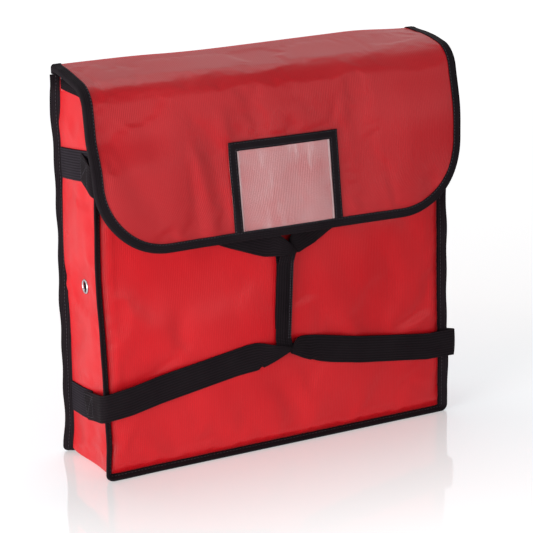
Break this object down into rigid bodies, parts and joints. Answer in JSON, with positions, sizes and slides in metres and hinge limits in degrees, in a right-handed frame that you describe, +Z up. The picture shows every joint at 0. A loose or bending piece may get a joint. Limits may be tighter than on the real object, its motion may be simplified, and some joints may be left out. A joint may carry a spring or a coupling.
{
  "type": "pizza delivery bag",
  "caption": "Upright insulated delivery bag with a padded flap over its mouth, taped seam fins, a clear slip pocket and a webbing harness with an upright grip.",
  "frame": {"origin": "on the floor, under the middle of the bag's outline", "axes": "+X across the bag to the right as seen from the front, +Y to the back panel, +Z up"},
  "size_m": [0.4444, 0.1182, 0.4399],
  "materials": {
    "coated_fabric": "satin",
    "edge_tape": "matte",
    "webbing": "matte",
    "foam": "matte",
    "lining": "satin",
    "clear_film": "gloss",
    "eyelet_metal": "polished",
    "hook_and_loop": "matte"
  },
  "bodies": {
    "bag": {"front_panel_skin": "coated_fabric", "front_panel_foam": "foam", "front_panel_lining": "lining", "back_panel_skin": "coated_fabric", "back_panel_foam": "foam", "back_panel_lining": "lining", "bottom_panel_skin": "coated_fabric", "bottom_panel_foam": "foam", "bottom_panel_lining": "lining", "side_panel_skin_left": "coated_fabric", "side_panel_foam_left": "foam", "side_panel_lining_left": "lining", "side_mouth_binding_left": "edge_tape", "eyelet_left": "eyelet_metal", "eyelet_washer_left": "eyelet_metal", "upper_anchor_tab_left": "webbing", "lower_anchor_tab_left": "webbing", "lower_strap_end_left": "webbing", "loop_patch_left": "hook_and_loop", "side_panel_skin_right": "coated_fabric", "side_panel_foam_right": "foam", "side_panel_lining_right": "lining", "side_mouth_binding_right": "edge_tape", "eyelet_right": "eyelet_metal", "eyelet_washer_right": "eyelet_metal", "upper_anchor_tab_right": "webbing", "lower_anchor_tab_right": "webbing", "lower_strap_end_right": "webbing", "loop_patch_right": "hook_and_loop", "front_mouth_binding": "edge_tape", "front_seam_binding": "edge_tape", "back_seam_binding": "edge_tape", "upper_strap": "webbing"},
    "flap_top": {"flap_top_skin": "coated_fabric", "flap_top_foam": "foam", "flap_top_lining": "lining", "flap_top_binding_left": "edge_tape", "flap_top_binding_right": "edge_tape"},
    "flap_front": {"flap_front_skin": "coated_fabric", "flap_front_foam": "foam", "flap_front_lining": "lining", "flap_front_binding": "edge_tape", "pocket_window": "clear_film", "pocket_binding": "edge_tape", "hook_patch_left": "hook_and_loop", "hook_patch_right": "hook_and_loop"},
    "grip": {"grip_sleeve": "webbing", "lower_strap_fold": "webbing"},
    "strap_left": {"lower_strap_span_left": "webbing"},
    "strap_right": {"lower_strap_span_right": "webbing"}
  },
  "joints": [
    {"name": "flap_back_fold", "type": "hinge", "parent": "bag", "child": "flap_top", "pos_m": [0, 0.04837, 0.43999], "axis": [-1, 0, 0], "range_deg": [0, 240]},
    {"name": "flap_front_fold", "type": "hinge", "parent": "flap_top", "child": "flap_front", "pos_m": [0, -0.02746, 0.42271], "axis": [-1, 0, 0], "range_deg": [0, 75]},
    {"name": "grip_swing", "type": "hinge", "parent": "bag", "child": "grip", "pos_m": [0, -0.04686, 0.224], "axis": [-1, 0, 0], "range_deg": [0, 35]},
    {"name": "strap_left_swing", "type": "hinge", "parent": "bag", "child": "strap_left", "pos_m": [-0.21299, -0.04871, 0.08247], "axis": [0, -0.3007, -0.9537], "range_deg": [0, 18.4]},
    {"name": "strap_right_swing", "type": "hinge", "parent": "bag", "child": "strap_right", "pos_m": [0.21299, -0.04871, 0.08247], "axis": [0, 0.3007, 0.9537], "range_deg": [0, 18.4]}
  ],
  "couplings": [
    {"joint": "strap_left_swing", "follows": "grip_swing", "ratio": 0.524},
    {"joint": "strap_right_swing", "follows": "grip_swing", "ratio": 0.524}
  ]
}
